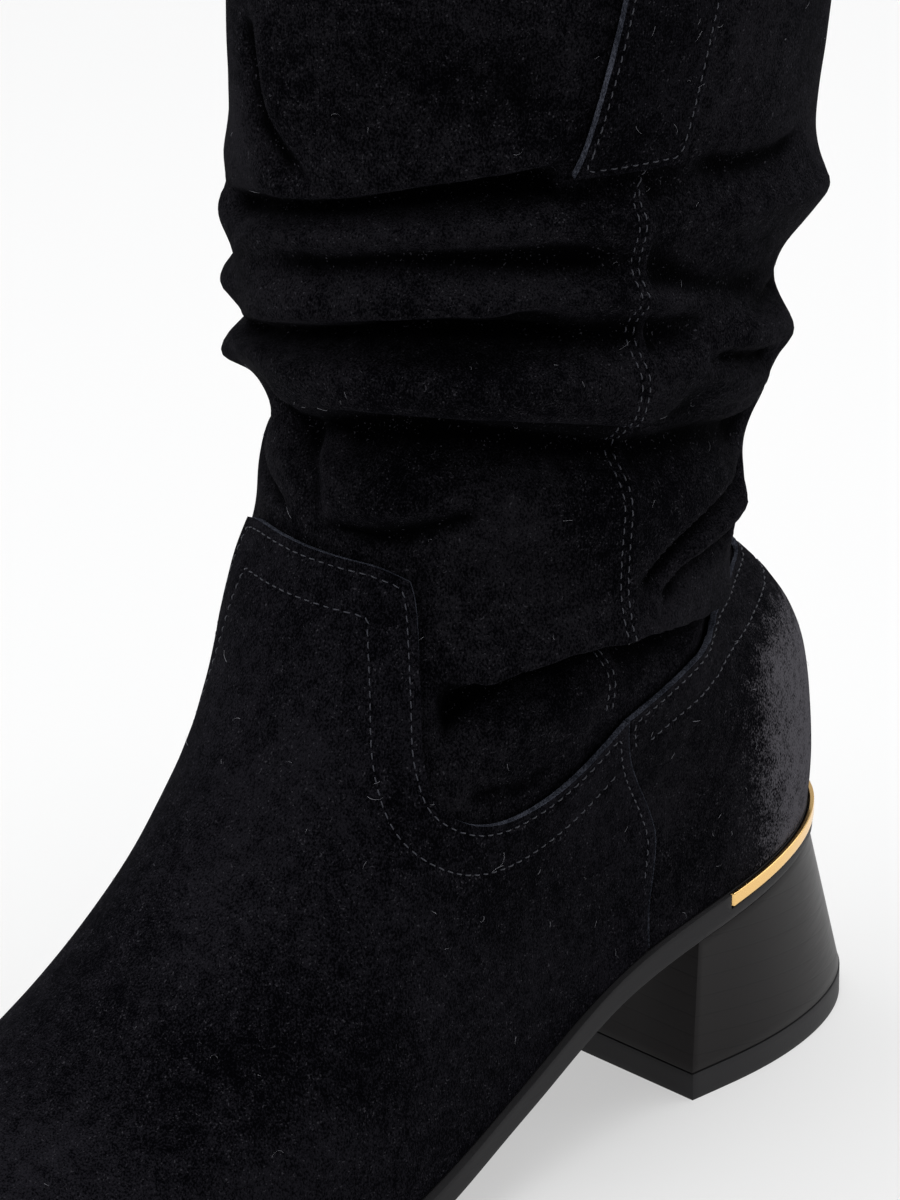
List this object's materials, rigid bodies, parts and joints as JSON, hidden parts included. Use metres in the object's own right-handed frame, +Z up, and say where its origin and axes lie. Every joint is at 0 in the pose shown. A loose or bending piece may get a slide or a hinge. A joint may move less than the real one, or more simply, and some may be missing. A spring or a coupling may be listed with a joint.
{
  "type": "slouch boot",
  "caption": "Left pull-on boot with a soft shaft slouched into rolls, a smooth vamp and heel panel, pull straps, a stacked block heel and a metal strip round the heel seat.",
  "frame": {"origin": "centre of the face that the top lift stands on", "axes": "+Z up the shaft, -X towards the toe, -Y towards the outer side of the left foot"},
  "size_m": [0.264, 0.0972, 0.2986],
  "materials": {
    "upper_suede": "black suede with a short nap",
    "vamp_suede": "black suede with a short nap",
    "counter_suede": "black suede, brushed paler at the back",
    "strap_suede": "black suede",
    "sole_rubber": "matt charcoal",
    "heel_stack": "satin black with faint stacked layers",
    "lift_rubber": "matt charcoal",
    "trim_metal": "polished gold colour",
    "insole_board": "plain dark lining"
  },
  "bodies": {
    "root": {"upper": "upper_suede", "vamp_overlay": "vamp_suede", "counter_overlay": "counter_suede", "pull_strap_lateral": "strap_suede", "pull_strap_medial": "strap_suede", "outsole": "sole_rubber", "heel_block": "heel_stack", "top_lift": "lift_rubber", "heel_trim": "trim_metal", "insole": "insole_board"}
  },
  "joints": []
}
